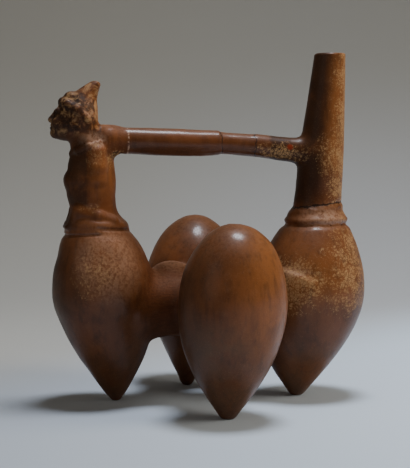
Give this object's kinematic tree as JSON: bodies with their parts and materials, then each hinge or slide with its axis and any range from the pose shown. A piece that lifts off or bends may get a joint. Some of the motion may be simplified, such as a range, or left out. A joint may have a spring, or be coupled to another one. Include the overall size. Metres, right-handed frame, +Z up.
{
  "type": "whistling vessel",
  "caption": "Hand-built clay whistling vessel: pointed pods in a cross joined by tubes, with a tapering spout, a seated figure and a round bridging handle.",
  "frame": {"origin": "under the middle of the vessel's overall box, on the surface that its feet stand on", "axes": "+Z up; +X from the seated figure towards the spout; the front pod is at -Y"},
  "size_m": [0.2068, 0.1964, 0.224],
  "materials": {
    "clay": "burnished, unglazed"
  },
  "bodies": {
    "root": {"vessel": "clay"}
  },
  "joints": []
}
